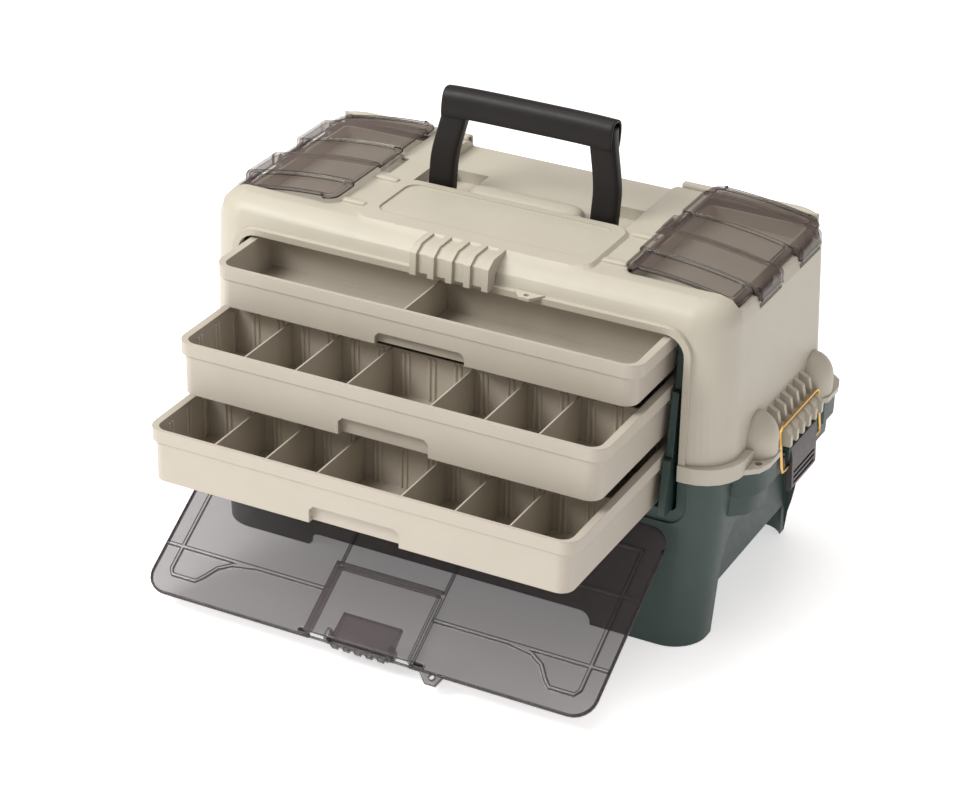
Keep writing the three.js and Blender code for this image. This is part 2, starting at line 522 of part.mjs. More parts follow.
// A bent wire through its corner points, each bend rounded.
function wire(points) {
  const bend = 3.5;
  const p = points.map(([x, y, z]) => new THREE.Vector3(x, y, z));
  const path = new THREE.CurvePath();
  let from = p[0];
  for (let i = 1; i < p.length - 1; i++) {
    const before = p[i].clone().lerp(p[i - 1], bend / p[i].distanceTo(p[i - 1]));
    const after = p[i].clone().lerp(p[i + 1], bend / p[i].distanceTo(p[i + 1]));
    path.add(new THREE.LineCurve3(from, before));
    path.add(new THREE.QuadraticBezierCurve3(before, p[i], after));
    from = after;
  }
  path.add(new THREE.LineCurve3(from, p[p.length - 1]));
  return solid(new THREE.ExtrudeGeometry(disc(0, 0, LATCH.wire), {
    extrudePath: path, steps: 36, curveSegments: 3, bevelEnabled: false }));
}

// ---- Side latches: a slotted lever on the base and a wire bail that reaches up to the hood's catch ----
function addSideLatches() {
  const { y, leverHalf, reach, pivotX, pivotZ, leverBottom, bailZ, barX, barZ } = LATCH;
  const face = outline([
    [pivotX - 1, pivotZ - 5], [pivotX - 2.5, pivotZ], [pivotX, pivotZ + 4.5], [pivotX + 4, pivotZ + 4],
    [pivotX + 6, pivotZ - 6], [pivotX + 7, leverBottom + 4], [pivotX + 5, leverBottom], [pivotX + 2, leverBottom]]);
  const slots = [0, 1, 2].map((i) =>
    block(pivotX - 5, pivotX + 20, y - 24, y + 24, leverBottom + 6 + i * 5, leverBottom + 8.4 + i * 5));
  const leverPinHole = rod("y", y - 50, y + 50, pivotX, pivotZ, 1.7);
  const bailX = pivotX + 2.8;
  const bailHole = rod("y", y - 50, y + 50, bailX, bailZ, 1.7);
  const lever = cut(alongY(face, y - leverHalf, y + leverHalf), ...slots, leverPinHole, bailHole);
  const pin = rod("y", y - 34, y + 34, pivotX, pivotZ, 1.4);
  const bail = wire([
    [bailX, y - leverHalf + 2, bailZ], [bailX, y - reach, bailZ], [barX, y - reach, barZ],
    [barX, y + reach, barZ], [bailX, y + reach, bailZ], [bailX, y + leverHalf - 2, bailZ]]);
  for (const [side, flip] of [["right", false], ["left", true]]) {
    const place = (s) => (flip ? mirrored(s) : s);
    piece(`latch_lever_${side}`, place(lever), "grey");
    piece(`latch_pin_${side}`, place(pin), "steel");
    piece(`latch_bail_${side}`, place(bail), "brass");
  }
}

piece("base", makeBase(), "green");
piece("hood", makeHood(), "beige");
piece("hood_hinge_rod", rod("x", -171, 171, HOOD_HINGE.y, HOOD_HINGE.z, 2), "steel");
addLids();
addHandle();
addCarriers();
addDrawers();
addDoor();
addSideLatches();

// Centre the bounding box over the origin, front to back.
const bounds = new THREE.Box3().setFromObject(box);
box.position.y = -(bounds.min.y + bounds.max.y) / 2;

export default box;
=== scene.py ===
# %% [markdown]
# # A fishing tackle box
# The box is made of moulded plastic: a green base, a beige hood with clear lids, three drawers, a
# smoke-coloured front door, a black handle and two side latches with wire bails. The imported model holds
# every moving part in its place, so this lesson gives each part its finish and adds the fine detail that
# the solid model leaves out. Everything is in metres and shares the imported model's frame.

import json
import math

import bpy
import numpy as np
from mathutils import Matrix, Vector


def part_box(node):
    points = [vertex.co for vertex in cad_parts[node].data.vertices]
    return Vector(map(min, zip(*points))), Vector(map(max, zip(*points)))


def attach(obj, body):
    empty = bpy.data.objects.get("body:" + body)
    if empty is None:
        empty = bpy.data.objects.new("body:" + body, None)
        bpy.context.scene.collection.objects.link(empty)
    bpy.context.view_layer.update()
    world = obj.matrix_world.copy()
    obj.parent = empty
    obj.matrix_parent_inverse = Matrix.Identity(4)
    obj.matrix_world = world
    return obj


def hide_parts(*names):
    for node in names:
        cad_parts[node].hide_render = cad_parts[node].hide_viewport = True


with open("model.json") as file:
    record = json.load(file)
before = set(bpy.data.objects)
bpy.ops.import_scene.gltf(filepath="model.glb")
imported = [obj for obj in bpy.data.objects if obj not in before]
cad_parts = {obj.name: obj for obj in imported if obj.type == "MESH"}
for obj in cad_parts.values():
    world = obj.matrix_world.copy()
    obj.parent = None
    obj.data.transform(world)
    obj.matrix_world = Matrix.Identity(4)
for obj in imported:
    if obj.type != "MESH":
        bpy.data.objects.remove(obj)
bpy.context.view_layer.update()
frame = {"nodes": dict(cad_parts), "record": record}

# %% [markdown]
# ## Where things are
# Y is drawn from the plane of the drawer opening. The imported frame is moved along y, and the front edge of
# a lid tells by how much, because its distance from that plane is known.

# %% Places on the box
LID_FRONT = 0.038  # from the opening plane to the lids' front edge
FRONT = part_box("lid_right")[0].y - LID_FRONT
SEAM = 0.160
HALF_LENGTH = 0.252
print("opening plane at y =", round(FRONT, 5))

# %% [markdown]
# ## Shader arithmetic
# A material is a graph of nodes. Writing it as Python sums keeps it readable: Signal wraps one output,
# and adding or multiplying signals adds the Math nodes. Every other node comes from Finish.node.


# %% A small language for materials
class Signal:
    """One output of a node. Sums and products of signals become Math nodes."""

    def __init__(self, finish, socket):
        self.finish = finish
        self.socket = socket

    def math(self, operation, first, second):
        return self.finish.node("ShaderNodeMath", {"operation": operation}, {0: first, 1: second})

    def __add__(self, other):
        return self.math("ADD", self, other)

    def __sub__(self, other):
        return self.math("SUBTRACT", self, other)

    def __rsub__(self, other):
        return self.math("SUBTRACT", other, self)

    def __mul__(self, other):
        return self.math("MULTIPLY", self, other)

    __radd__ = __add__
    __rmul__ = __mul__


class Finish:
    """A material with one Principled shader. The constants go straight to the shader's own sockets."""

    def __init__(self, name, **constants):
        self.material = bpy.data.materials.new(name)
        self.material.use_nodes = True
        self.tree = self.material.node_tree
        self.shader = self.tree.nodes["Principled BSDF"]
        for socket, value in constants.items():
            self.shader.inputs[socket.replace("_", " ")].default_value = value

    def node(self, kind, settings=None, inputs=None, output=0):
        made = self.tree.nodes.new(kind)
        for key, value in (settings or {}).items():
            setattr(made, key, value)
        for key, value in (inputs or {}).items():
            self.feed(made.inputs[key], value)
        return Signal(self, made.outputs[output])

    def feed(self, socket, value):
        if isinstance(value, Signal):
            self.tree.links.new(value.socket, socket)
        else:
            socket.default_value = value

    def set(self, socket, value):
        self.feed(self.shader.inputs[socket], value)

    def place(self):
        return self.node("ShaderNodeTexCoord", output="Object")

    def noise(self, scale, detail=2.0, roughness=0.5):
        where = self.place()
        return self.node("ShaderNodeTexNoise", {}, {
            "Vector": where, "Scale": scale, "Detail": detail, "Roughness": roughness})

    def between(self, low, high, factor):
        """The colour a share of the way from one colour to another."""
        return self.node("ShaderNodeMix", {"data_type": "RGBA"}, {
            0: factor, 6: (*low, 1.0), 7: (*high, 1.0)}, output=2)


# %% [markdown]
# ## Moulded plastic
# Injection-moulded polypropylene has a faint cloudy tone, a fine spark-eroded grain and soft edges,
# because no mould has a perfectly sharp corner. The grain is a fine noise that feeds a Bump node. The
# soft edges could be modelled with a Bevel modifier, but the Bevel shader node rounds the shading of
# every edge at once, on any mesh.


# %% Plastic finishes
def moulded(name, dark, light, gloss, grain=0.00004, edge=0.0009, mottle=30.0, **constants):
    """Opaque plastic. Its colour drifts from dark to light with a slow noise, its roughness is
    gloss plus a share of a medium noise, and its height is a fine noise times grain."""
    f = Finish(name, **constants)
    cloud = f.noise(mottle, 3.0)
    f.set("Base Color", f.between(dark, light, cloud))
    scuff = f.noise(140.0, 4.0, 0.65)
    f.set("Roughness", scuff * 0.16 + (gloss - 0.08))
    fine = f.noise(1500.0, 2.0)
    soft = f.node("ShaderNodeBevel", {"samples": 4}, {"Radius": edge})
    bumped = f.node("ShaderNodeBump", {}, {
        "Strength": 0.5, "Distance": grain, "Height": fine, "Normal": soft})
    f.set("Normal", bumped)
    return f.material


def clear_plastic(name, dark, light, alpha, gloss, radius):
    """Smoke-tinted clear plastic. A sheet has two faces, so each hides only alpha of what is behind.
    Its edges and ribs are painted darker: partly the deeper tint of thicker plastic, and partly
    painted shade for the dark that refraction gives a clear edge. edge = 1 - (round normal . true
    normal) is zero on a flat and grows where the Bevel node bends the normal, so edges and ribs
    show as dark lines."""
    f = Finish(name, IOR=1.49, Specular_IOR_Level=0.5)
    cloud = f.noise(12.0, 2.0)
    soft = f.node("ShaderNodeBevel", {"samples": 8}, {"Radius": radius})
    true = f.node("ShaderNodeNewGeometry", output="True Normal")
    alike = f.node("ShaderNodeVectorMath", {"operation": "DOT_PRODUCT"}, {0: soft, 1: true}, output="Value")
    # edge is a mask of painted shade on edges and ribs, partly also the deeper tint of thicker plastic.
    edge = f.node("ShaderNodeMapRange", {}, {
        "Value": 1.0 - alike, "From Min": 0.005, "From Max": 0.12, "To Min": 0.0, "To Max": 1.0})
    tint = f.between(dark, light, cloud)
    # Painted shade: the colour runs to near black where the edge mask is high.
    f.set("Base Color", f.node("ShaderNodeMix", {"data_type": "RGBA"}, {
        0: edge, 6: tint, 7: (0.022, 0.018, 0.019, 1.0)}, output=2))
    edge_on = f.node("ShaderNodeLayerWeight", {}, {"Blend": 0.3}, output="Facing")
    film = edge_on * (0.62 - alpha) + alpha
    # The edge mask also makes those painted dark lines more opaque.
    f.set("Alpha", film + edge * (0.9 - alpha))
    scuff = f.noise(220.0, 4.0, 0.7)
    f.set("Roughness", scuff * 0.12 + gloss)
    bumped = f.node("ShaderNodeBump", {}, {
        "Strength": 0.25, "Distance": 0.00008, "Height": cloud, "Normal": soft})
    f.set("Normal", bumped)
    return f.material


def drawn_wire(name, dark, light, gloss):
    """Plated wire: metal with a slow tarnish and fine draw marks in its roughness."""
    f = Finish(name, Metallic=1.0)
    tarnish = f.noise(160.0, 3.0)
    f.set("Base Color", f.between(dark, light, tarnish))
    f.set("Roughness", f.noise(900.0, 3.0) * 0.2 + gloss)
    return f.material


BEIGE = moulded("hood beige", (0.475, 0.440, 0.362), (0.522, 0.487, 0.405), 0.46)
DRAWER_BEIGE = moulded("drawer beige", (0.455, 0.412, 0.345), (0.502, 0.458, 0.388), 0.44, grain=0.00002)
GREEN = moulded("base green", (0.016, 0.038, 0.033), (0.025, 0.053, 0.046), 0.46, grain=0.00005)
BLACK = moulded("handle black", (0.0065, 0.0050, 0.0043), (0.011, 0.0088, 0.0078), 0.46, edge=0.0014,
                Specular_IOR_Level=0.30)
GREY = moulded("latch grey", (0.034, 0.027, 0.025), (0.050, 0.042, 0.039), 0.42)
SMOKE = clear_plastic("smoke clear", (0.058, 0.038, 0.045), (0.080, 0.056, 0.064), 0.46, 0.10, 0.0022)
SMOKE_RIM = clear_plastic("smoke rim", (0.022, 0.016, 0.017), (0.030, 0.022, 0.024), 0.62, 0.10, 0.0006)
LID_SMOKE = clear_plastic("lid clear", (0.120, 0.088, 0.074), (0.155, 0.118, 0.100), 0.17, 0.10, 0.0020)
BRASS = drawn_wire("brass wire", (0.55, 0.33, 0.09), (0.72, 0.46, 0.15), 0.22)
STEEL = drawn_wire("steel wire", (0.42, 0.42, 0.42), (0.60, 0.59, 0.57), 0.25)
print(len(bpy.data.materials), "finishes")

# %% [markdown]
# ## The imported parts
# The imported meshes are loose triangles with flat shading. Weld joins them, Edge Split keeps the real
# edges crisp and lets curved walls shade smoothly, and Weighted Normal stops long thin triangles from
# bending the light on flat faces.

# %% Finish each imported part
FINISH_OF = {
    "green_plastic": GREEN, "beige_plastic": BEIGE, "drawer_plastic": DRAWER_BEIGE, "smoke_plastic": SMOKE,
    "black_plastic": BLACK, "grey_plastic": GREY, "brass_wire": BRASS, "steel_wire": STEEL,
}
SLOT_OF = {s["node"]: s["material_slot"] for s in frame["record"]["subparts"]}


def smooth_shading(obj, angle=38):
    obj.data.polygons.foreach_set("use_smooth", np.ones(len(obj.data.polygons), bool))
    weld = obj.modifiers.new("weld", "WELD")
    weld.merge_threshold = 0.00001
    split = obj.modifiers.new("keep edges", "EDGE_SPLIT")
    split.split_angle = math.radians(angle)
    obj.modifiers.new("weighted normals", "WEIGHTED_NORMAL").keep_sharp = True


for node_name, node in frame["nodes"].items():
    node.data.materials.clear()
    node.data.materials.append(FINISH_OF[SLOT_OF[node_name]])
    smooth_shading(node)
print(len(frame["nodes"]), "packed parts finished")


# %% [markdown]
# ## Surfaces from arrays
# Each new piece is a grid of points, P(u, v), worked out as whole arrays. One helper turns the grid into
# quads and puts it in the scene on the body that it moves with.


# %% Grid helper
def quads(rows, columns, closed):
    """Corner numbers of the quads between neighbouring rows and columns of a grid. closed joins the
    last column to the first."""
    r = np.arange(rows - 1)[:, None]
    c = np.arange(columns if closed else columns - 1)[None, :]
    n = (c + 1) % columns
    corners = np.stack(np.broadcast_arrays(
        r * columns + c, r * columns + n, (r + 1) * columns + n, (r + 1) * columns + c), -1)
    return corners.reshape(-1, 4)


def add_piece(name, points, faces, material, body, modifiers=()):
    """A named mesh of these points and faces, riding on a body of the frame."""
    mesh = bpy.data.meshes.new(name)
    mesh.from_pydata(np.asarray(points).reshape(-1, 3).tolist(), [], [list(f) for f in faces])
    mesh.polygons.foreach_set("use_smooth", np.ones(len(mesh.polygons), bool))
    mesh.materials.append(material)
    obj = bpy.data.objects.new(name, mesh)
    bpy.context.scene.collection.objects.link(obj)
    for kind, settings in modifiers:
        added = obj.modifiers.new(kind.lower(), kind)
        for key, value in settings.items():
            setattr(added, key, value)
    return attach(obj, body)


def ring_faces(grid, side=1, foot=True):
    """The faces of a stack of closed rings: the quads between them, a cap on the last ring and, with
    foot, one on the first. A stack that is mirrored, with side -1, has its faces turned round."""
    rows, columns = grid.shape[:2]
    faces = [list(f) for f in quads(rows, columns, True)]
    if foot:
        faces.append(list(range(columns))[::-1])
    faces.append(list(range((rows - 1) * columns, rows * columns)))
    return faces if side > 0 else [f[::-1] for f in faces]


def smoothstep(t):
    """0 below 0, 1 above 1, and 3t^2 - 2t^3 between."""
    t = np.clip(t, 0, 1)
    return t * t * (3 - 2 * t)


def superellipse(angle, wide, deep, power):
    """(wide * sgn(cos a) |cos a|^(2/n), deep * sgn(sin a) |sin a|^(2/n))."""
    c, s = np.cos(angle), np.sin(angle)
    return wide * np.sign(c) * np.abs(c) ** (2 / power), deep * np.sign(s) * np.abs(s) ** (2 / power)


# %% [markdown]
# ## The clear lids
# Each lid is one thin sheet that arches down to its outer edge. Two raised bands cross it and wrap over
# that edge, down almost to the height of the hinge pins. The solid model steps up to each band; a moulded
# lid has soft shoulders, so the sheet is one surface whose height and outer end both swell at a band.


# %% Lids
def panel(x, y, x0, x1, y0, y1, corner, shoulder):
    """1 inside a rounded rectangle and 0 outside, with a soft shoulder. Its distance is
    d = |max(q, 0)| + min(max(qx, qy), 0) - corner, q the point's offset past the corner centres."""
    qx = np.abs(x - (x0 + x1) / 2) - (x1 - x0) / 2 + corner
    qy = np.abs(y - (y0 + y1) / 2) - (y1 - y0) / 2 + corner
    d = np.hypot(np.maximum(qx, 0), np.maximum(qy, 0)) + np.minimum(np.maximum(qx, qy), 0) - corner
    return smoothstep(0.5 - d / shoulder)


def lid_sheet(side):
    """P(u, v): v runs front to back, u from the inner edge to the outer. Height is
    top - drop * s^2 + rise * border, s the share of the way out. Past 0.80 of u the sheet
    turns down a quarter circle, and past 0.93 a skirt goes on down at the two bands. The
    border is full height on the bands and 0.35 of it round the three sunk panels."""
    inner, outer, end = 0.1375, 0.238, 0.2458
    front, back, corner = LID_FRONT, 0.226, 0.010
    y = np.linspace(front, back, 320)[:, None]
    shoulder = 0.0015
    band = 0
    for low, high in ((0.072, 0.118), (0.160, 0.206)):
        band = band + smoothstep((y - low) / shoulder) * smoothstep((high - y) / shoulder)
    nearest = np.minimum(y - front, back - y)
    cut = corner - np.sqrt(np.maximum(corner**2 - np.maximum(corner - nearest, 0) ** 2, 0))
    u = np.linspace(0, 1, 120)[None, :]
    bend = 0.0045 * band + 0.0018 * (1 - band)
    crown_end = (end - bend) * band + (outer - cut - bend) * (1 - band)
    flat = np.clip(u / 0.80, 0, 1)
    turn = np.clip((u - 0.80) / 0.13, 0, 1) * math.pi / 2
    down = np.clip((u - 0.93) / 0.07, 0, 1)
    start = inner + cut
    x = start + (crown_end - start) * flat + bend * np.sin(turn)
    share = (np.minimum(x, crown_end) - inner) / (outer - inner)
    sunk = sum(
        panel(x, y, inner + 0.0045, outer - 0.0045, low, high, 0.007, shoulder)
        for low, high in ((0.0415, 0.072), (0.118, 0.160), (0.206, 0.2225)))
    border = (1 - sunk) * (band + 0.35 * (1 - band))
    # The inner edge of the sheet rolls down a little as well.
    roll = 0.0016 * (1 - smoothstep((x - start) / 0.003)) ** 2
    top, drop, rise, skirt_end = 0.3215, 0.0115, 0.0040, 0.3015
    z = top - drop * share**2 + rise * border - bend * (1 - np.cos(turn)) - roll
    skirt = np.maximum(z - skirt_end, 0) * band + 0.0006 * (1 - band)
    z = z - skirt * down
    return np.stack(np.broadcast_arrays(side * x, y + FRONT, z), -1)


SHEET = [("SOLIDIFY", {"thickness": 0.0022, "offset": -1.0, "use_even_offset": True})]
for side, word in ((1, "right"), (-1, "left")):
    grid = lid_sheet(side)
    faces = quads(*grid.shape[:2], False)
    if side > 0:
        faces = faces[:, ::-1]
    add_piece(f"lid_sheet_{word}", grid, faces, LID_SMOKE, f"lid_{word}", SHEET)
    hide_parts(f"lid_{word}")
print("lid grid", grid.shape)

# %% [markdown]
# ## Clasps and rims
# A lid's clasp is a soft-edged block at its inner edge. The door's border is thicker than the rest, so it
# looks darker. The door gets a rim there: a small section swept along three sides of a rectangle with
# round corners, worked out in the door's own plane and then laid down on its slope.


# %% Clasps and the door's rim
def round_block(x0, x1, y0, y1, z0, z1, power=6.0):
    """A superellipsoid-like block: its ring at each height is |x/a|^n + |y/b|^n = 1, and the rings
    shrink towards the top by (1 - t^n)^(1/n)."""
    a = np.linspace(0, 2 * math.pi, 64, endpoint=False)[None, :]
    t = np.linspace(0, 0.999, 14)[:, None]
    shrink = (1 - t**power) ** (1 / power)
    c, s = np.cos(a), np.sin(a)
    x = (x0 + x1) / 2 + (x1 - x0) / 2 * shrink * np.sign(c) * np.abs(c) ** (2 / power)
    y = (y0 + y1) / 2 + (y1 - y0) / 2 * shrink * np.sign(s) * np.abs(s) ** (2 / power)
    z = z0 + (z1 - z0) * t * np.ones_like(a)
    return np.stack([x, y, z], -1)


for side, word in ((1, "right"), (-1, "left")):
    lump = round_block(0.1310, 0.1405, 0.123 + FRONT, 0.155 + FRONT, 0.3135, 0.3240)
    lump[..., 0] *= side
    faces = ring_faces(lump, side, foot=False)
    add_piece(f"lid_clasp_{word}", lump, faces, LID_SMOKE, f"lid_{word}")


def door_place(points):
    """Points drawn flat about the door's hinge, turned by the door's slope and moved to the hinge."""
    slope = math.radians(32.3)
    hinge_y, hinge_z = FRONT - 0.012, 0.1145
    x, y, z = points[..., 0], points[..., 1], points[..., 2]
    return np.stack([
        x, hinge_y + y * math.cos(slope) - z * math.sin(slope),
        hinge_z + y * math.sin(slope) + z * math.cos(slope)], -1)


def door_rim(half=0.2128, free=-0.1798, hinge=-0.016, corner=0.0188):
    """A round-edged section along three sides of the door: down one side, along the free edge and up
    the other. The path's corners are quarter circles."""
    quarter = np.linspace(0, math.pi / 2, 14)
    cx, cy = half - corner, free + corner
    path = np.concatenate([
        np.stack([np.full(30, half), np.linspace(hinge, cy, 30)], -1),
        np.stack([cx + corner * np.cos(quarter), cy - corner * np.sin(quarter)], -1)[1:],
        np.stack([np.linspace(cx, -cx, 60), np.full(60, free)], -1)[1:],
        np.stack([-cx - corner * np.sin(quarter), cy - corner * np.cos(quarter)], -1)[1:],
        np.stack([np.full(30, -half), np.linspace(cy, hinge, 30)], -1)[1:]])
    along = np.gradient(path, axis=0)
    along /= np.linalg.norm(along, axis=1, keepdims=True)
    outward = np.stack([along[:, 1], -along[:, 0]], -1)
    a = np.linspace(0, 2 * math.pi, 16, endpoint=False)
    across, up = superellipse(a, 0.0010, 0.0019, 3.0)
    plane = path[:, None, :] + outward[:, None, :] * across[None, :, None]
    height = np.broadcast_to(-0.0009 + up[None, :, None], (*plane.shape[:2], 1))
    return door_place(np.concatenate([plane, height], -1))


rim = door_rim()
add_piece("door_rim", rim, ring_faces(rim), SMOKE_RIM, "door")
print("rim grid", rim.shape)

# %% [markdown]
# ## Guide posts in the drawers
# In the middle and bottom drawers the walls of the compartment rows carry slim half-round posts that the
# dividers slot between. A drawer's posts are all one shape, so one post is worked out and then copied by
# adding an array of places to it.


# %% Posts
def half_post(radius, low, high, steps=9):
    """A half-round post: the arc (r cos a, r sin a) for a from 0 to pi, at its foot, its head and two
    smaller rings, 0.6 mm and 0.8 mm above the head, that round it off."""
    a = np.linspace(0, math.pi, steps)
    levels = np.array([[1.0, low], [1.0, high], [0.75, high + 0.0006], [0.2, high + 0.0008]])
    x = levels[:, :1] * radius * np.cos(a)
    y = levels[:, :1] * radius * np.sin(a)
    return np.stack([x, y, np.broadcast_to(levels[:, 1:], x.shape)], -1)


def posts(name, places, turns, low, high, body, radius=0.0016):
    """A post at each (x, y), turned so that its round side faces the given heading."""
    one = half_post(radius, low, high)
    c, s = np.cos(turns)[:, None, None], np.sin(turns)[:, None, None]
    x = places[:, 0, None, None] + one[None, ..., 0] * c - one[None, ..., 1] * s
    y = places[:, 1, None, None] + one[None, ..., 0] * s + one[None, ..., 1] * c
    z = np.broadcast_to(one[None, ..., 2], x.shape)
    points = np.stack([x, y, z], -1)
    one_faces = quads(one.shape[0], one.shape[1], False)
    per = one.shape[0] * one.shape[1]
    faces = (one_faces[None] + (np.arange(len(places)) * per)[:, None, None]).reshape(-1, 4)
    add_piece(name, points, faces, DRAWER_BEIGE, body)


DRAWERS = {"middle": (0.242, 0.194, 0.1275), "bottom": (0.1825, 0.1345, 0.176)}  # top, bottom, pull
INNER_HALF = 0.1921  # from the middle to the inner face of a side wall
NOTCH_HALF = 0.047  # the finger notch, which has no posts
PITCH, SIDE_PITCH = 0.0246, 0.0275  # along the long walls and along the side walls
HALF_SLOT = 0.0024
ROW_WALL = 0.087  # the wall between the front and back compartments
for word, (top, bottom, pull) in DRAWERS.items():
    y0 = FRONT + 0.004 - pull
    along = np.arange(-7, 8) * PITCH
    pairs = np.concatenate([along - HALF_SLOT, along + HALF_SLOT])
    outside = pairs[np.abs(pairs) > NOTCH_HALF]
    front = np.stack([outside, np.full_like(outside, y0 + 0.0032)], -1)
    row = np.stack([pairs, np.full_like(pairs, y0 + 0.0860)], -1)
    behind = np.stack([pairs, np.full_like(pairs, y0 + 0.0878)], -1)
    back = np.stack([pairs, np.full_like(pairs, y0 + 0.2131)], -1)
    deep = y0 + np.arange(1, 8) * SIDE_PITCH
    deep = np.concatenate([deep - HALF_SLOT, deep + HALF_SLOT])
    deep = deep[np.abs(deep - y0 - ROW_WALL) > 0.004]
    right = np.stack([np.full_like(deep, INNER_HALF), deep], -1)
    left = np.stack([np.full_like(deep, -INNER_HALF), deep], -1)
    places = np.concatenate([front, row, behind, back, right, left])
    turns = np.concatenate([
        np.zeros(len(front)), np.full(len(row), math.pi), np.zeros(len(behind)), np.full(len(back), math.pi),
        np.full(len(right), math.pi / 2), np.full(len(left), -math.pi / 2)])
    posts(f"drawer_{word}_posts", places, turns, bottom + 0.002, top - 0.0065, f"drawer_{word}")
    print(word, len(places), "posts")


# %% [markdown]
# ## Domed lugs on the hood's sides
# Two domes stand beside each ribbed catch, where the hood's wall swells round its latch. Each is a short
# upright column that closes in a quarter of an ellipsoid.


# %% Lugs
def dome(side, y):
    """(r cos t cos p, r sin t cos p, h sin p) above the column's top, and the column's own
    half circle (r cos t, r sin t) below it, where p is negative."""
    t = np.linspace(-math.pi / 2, math.pi / 2, 41)[:, None]
    p = np.linspace(-0.5, math.pi / 2, 29)[None, :]
    radius, rise, column = 0.02012, 0.02312, 0.0129
    shrink = np.cos(np.maximum(p, 0))
    x = HALF_LENGTH - 0.002 + radius * np.cos(t) * shrink
    yy = FRONT + y + radius * np.sin(t) * shrink
    z = SEAM + 0.018 + np.where(p < 0, p / 0.5 * column, rise * np.sin(p))
    return np.stack(np.broadcast_arrays(side * x, yy, z), -1)


for side, word in ((1, "right"), (-1, "left")):
    for y, end in ((0.072, "front"), (0.198, "rear")):
        grid = dome(side, y)
        faces = quads(*grid.shape[:2], False)
        if side < 0:
            faces = faces[:, ::-1]
        add_piece(f"lug_{word}_{end}", grid, faces, BEIGE, "hood")

# %% [markdown]
# ## Raised bars and the pocket's roll
# Low bars cross the strip between the platform and each lid, and a roll lies in the handle's pocket
# between its feet. The roll's radius closes at its ends as (1 - |t|^10)^0.4.


# %% Bars and roll
for side, word in ((1, "right"), (-1, "left")):
    for y, end in ((0.046, "front"), (0.104, "rear")):
        bar = round_block(0.1125, 0.1362, y + FRONT, y + 0.008 + FRONT, 0.3165, 0.3206, 5.0)
        bar[..., 0] *= side
        faces = ring_faces(bar, side, foot=False)
        add_piece(f"top_bar_{word}_{end}", bar, faces, BEIGE, "hood")

t = np.linspace(-1, 1, 61)[:, None]
around = np.linspace(0, 2 * math.pi, 40, endpoint=False)[None, :]
thick = 0.0112 * np.clip(1 - np.abs(t) ** 10, 0, 1) ** 0.4
roll = np.stack(np.broadcast_arrays(
    0.0555 * t, FRONT + 0.1345 + thick * np.cos(around), 0.3075 + thick * np.sin(around)), -1)
add_piece("pocket_roll", roll, quads(*roll.shape[:2], True), BEIGE, "hood",
          [("WELD", {"merge_threshold": 0.00001})])

# %% [markdown]
# ## The hood's rear rim
# Behind the lids the hood's top edge has a smaller radius than at its front. A rim follows the back wall
# from beside the handle's pocket into the corner. Its section goes up the wall, turns over a small radius
# and runs in towards the lid's opening; in the corner it narrows to keep clear of the lid.


# %% Rear rim
def rear_rim(side):
    """P(u, v): v runs along the wall (x, y) = (cx + r cos a, cy + r sin a) with a straight start. The
    section's depth is w = min(10 mm, (y - y_lid) / sin a), and its turn has the radius
    min(4.5 mm, 0.95 w)."""
    cx, cy, radius, lid_back = 0.2107, 0.2017, 0.036, 0.2268
    straight = 40
    a = np.concatenate([np.full(straight, math.pi / 2), np.linspace(math.pi / 2, 0.81, 24)[1:]])
    x = cx + radius * np.cos(a)
    x[:straight] = np.linspace(0.1065, cx, straight)
    y = cy + radius * np.sin(a)
    wide = np.minimum(0.010, (y - lid_back) / np.sin(a))
    turn = np.minimum(0.0045, wide * 0.95)
    q = np.linspace(0, math.pi / 2, 9)[:, None]
    depth = np.concatenate([np.zeros((1, len(a))), turn * (1 - np.cos(q)), wide[None], wide[None]])
    top = 0.3182
    height = np.concatenate([
        np.full((1, len(a)), 0.2955), top - turn * (1 - np.sin(q)), np.full((1, len(a)), top),
        np.full((1, len(a)), 0.3120)])
    out_x = x[None] - depth * np.cos(a)[None]
    out_y = y[None] - depth * np.sin(a)[None]
    return np.stack([side * out_x, out_y + FRONT + 0.0001, height], -1)


for side, word in ((1, "right"), (-1, "left")):
    edge = rear_rim(side)
    faces = quads(*edge.shape[:2], False)
    if side > 0:
        faces = faces[:, ::-1]
    add_piece(f"hood_rear_rim_{word}", edge, faces, BEIGE, "hood",
              [("SOLIDIFY", {"thickness": 0.0016, "offset": -1.0})])

# %% [markdown]
# ## The handle
# The handle is a bail. Its grip is half a tube, open underneath and at its ends, and each leg is a flat
# bar with round edges that tapers down to its pin. Both are swept: a section of the superellipse family
# is carried along a path while its two half-sizes change. The handle leans back a little, so its points
# are worked out upright about the pin and then turned.


# %% Handle
def leaned(points):
    """Points about the handle's pin, turned back by the lean and moved to the pin."""
    lean = math.radians(8.5)
    x, y, z = points[..., 0], points[..., 1], points[..., 2]
    turned_y = y * math.cos(lean) + z * math.sin(lean)
    turned_z = z * math.cos(lean) - y * math.sin(lean)
    return np.stack([x, turned_y + FRONT + 0.125, turned_z + 0.308], -1)


def handle_leg(side):
    """A closed sweep up the leg. The section's centre moves in by 8.8 mm smoothstep((t - 0.35) / 0.65),
    bows out by 0.6 mm sin(pi t), and its half-sizes shrink to close the foot."""
    t = np.linspace(0, 1, 44)[:, None]
    a = np.linspace(0, 2 * math.pi, 48, endpoint=False)[None, :]
    height = -0.0072 + 0.0975 * t
    centre = 0.0782 - 0.0088 * smoothstep((t - 0.35) / 0.65) + 0.0006 * np.sin(math.pi * t)
    cap = np.sqrt(np.clip(1 - (1 - np.clip(t / 0.09, 0, 1)) ** 2, 0.02, 1))
    across, deep = superellipse(a, 0.0122 * cap, 0.0068 * (0.4 + 0.6 * cap), 4.5)
    x = side * (centre + across)
    return leaned(np.stack(np.broadcast_arrays(x, deep, height), -1))


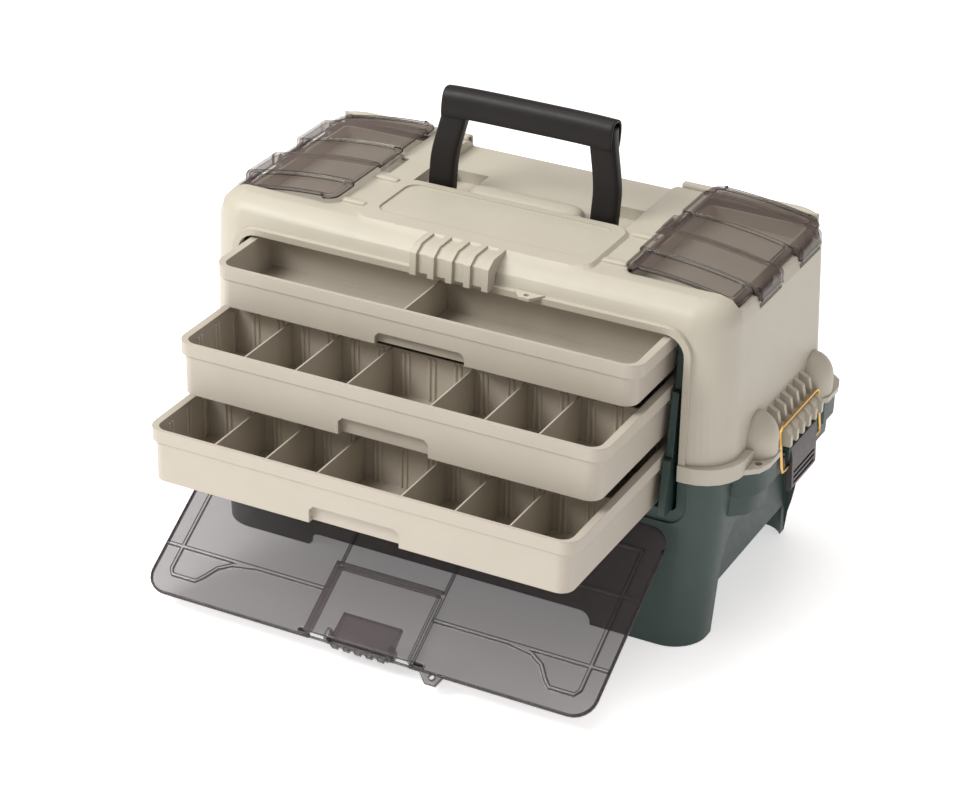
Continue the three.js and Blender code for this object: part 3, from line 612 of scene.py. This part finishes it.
def handle_grip():
    """Half a tube along x: its section runs from just under the front, over the top, to just under the
    back, and its height sinks by 1.2 mm (x / half)^4 towards both ends."""
    half, tuck = 0.0815, 0.62
    along = np.linspace(-half, half, 60)[:, None]
    a = np.linspace(-tuck, math.pi + tuck, 50)[None, :]
    across, up = superellipse(a, 0.0107, 0.0156, 2.7)
    height = 0.0830 + up - 0.0012 * (along / half) ** 4
    return leaned(np.stack(np.broadcast_arrays(along, across, height), -1))


grip = handle_grip()
add_piece("handle_grip", grip, quads(*grip.shape[:2], False), BLACK, "handle",
          [("SOLIDIFY", {"thickness": 0.0026, "offset": -1.0, "use_even_offset": True}),
           ("BEVEL", {"width": 0.0007, "segments": 2})])
for side, word in ((1, "right"), (-1, "left")):
    leg = handle_leg(side)
    add_piece(f"handle_leg_{word}", leg, ring_faces(leg, side), BLACK, "handle")
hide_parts("handle")
print("grip spans", grip[..., 0].min(), grip[..., 0].max())

# %% [markdown]
# ## Floor, light and camera
# A pale floor and large soft lamps give even light and soft shadows. The key lamp stands to the front
# left and above, so the right side is lit mainly by the faintly pink sky.

# %% Stage
ground = np.array([[-6, -6, -0.0004], [6, -6, -0.0004], [6, 6, -0.0004], [-6, 6, -0.0004]], float)
floor_mesh = bpy.data.meshes.new("floor")
floor_mesh.from_pydata(ground.tolist(), [], [(0, 1, 2, 3)])
floor = bpy.data.objects.new("floor", floor_mesh)
bpy.context.scene.collection.objects.link(floor)
paper = Finish("paper", Roughness=0.9, Emission_Color=(1.0, 1.0, 1.0, 1.0), Emission_Strength=0.55)
paper.set("Base Color", paper.between((0.90, 0.90, 0.90), (0.93, 0.93, 0.93), paper.noise(3.0)))
floor_mesh.materials.append(paper.material)

world = bpy.data.worlds.new("studio")
bpy.context.scene.world = world
world.use_nodes = True
world.node_tree.nodes["Background"].inputs["Color"].default_value = (1.0, 0.915, 0.905, 1.0)
world.node_tree.nodes["Background"].inputs["Strength"].default_value = 0.40


def softbox(name, place, aim, size, watts):
    lamp = bpy.data.lights.new(name, "AREA")
    lamp.shape = "RECTANGLE"
    lamp.size, lamp.size_y = size
    lamp.energy = watts
    lamp.color = (1.0, 1.0, 0.97)
    obj = bpy.data.objects.new(name, lamp)
    bpy.context.scene.collection.objects.link(obj)
    back = np.array(place, float) - np.array(aim, float)
    back /= np.linalg.norm(back)
    across = np.cross((0, 0, 1), back)
    across /= np.linalg.norm(across)
    up = np.cross(back, across)
    matrix = np.eye(4)
    matrix[:3, 0], matrix[:3, 1], matrix[:3, 2], matrix[:3, 3] = across, up, back, place
    obj.matrix_world = Matrix(matrix.tolist())


softbox("key", (-1.3, -1.5, 2.1), (0, 0, 0.2), (1.5, 1.1), 60)
softbox("top", (-0.1, 0.2, 2.6), (0, 0, 0.2), (2.0, 2.0), 29)

# %% Camera
AZIMUTH, ELEVATION, ROLL = 26.679, 27.986, 1.221
DISTANCE = 2.48453
TARGET = np.array([0.008725, FRONT + 0.054197, 0.15429])
az, el, roll = np.radians([AZIMUTH, ELEVATION, ROLL])
back = np.array([math.sin(az) * math.cos(el), -math.cos(az) * math.cos(el), math.sin(el)])
level = np.cross((0, 0, 1), back)
level /= np.linalg.norm(level)
upward = np.cross(back, level)
right = math.cos(roll) * level + math.sin(roll) * upward
up = -math.sin(roll) * level + math.cos(roll) * upward
lens = bpy.data.cameras.new("camera")
lens.sensor_fit = "HORIZONTAL"
lens.sensor_width = 36.0
lens.lens = 104.5212
camera = bpy.data.objects.new("camera", lens)
bpy.context.scene.collection.objects.link(camera)
pose = np.eye(4)
pose[:3, 0], pose[:3, 1], pose[:3, 2], pose[:3, 3] = right, up, back, TARGET + DISTANCE * back
camera.matrix_world = Matrix(pose.tolist())
bpy.context.scene.camera = camera
bpy.context.scene.view_settings.view_transform = "Standard"
print("camera at", np.round(pose[:3, 3], 3))
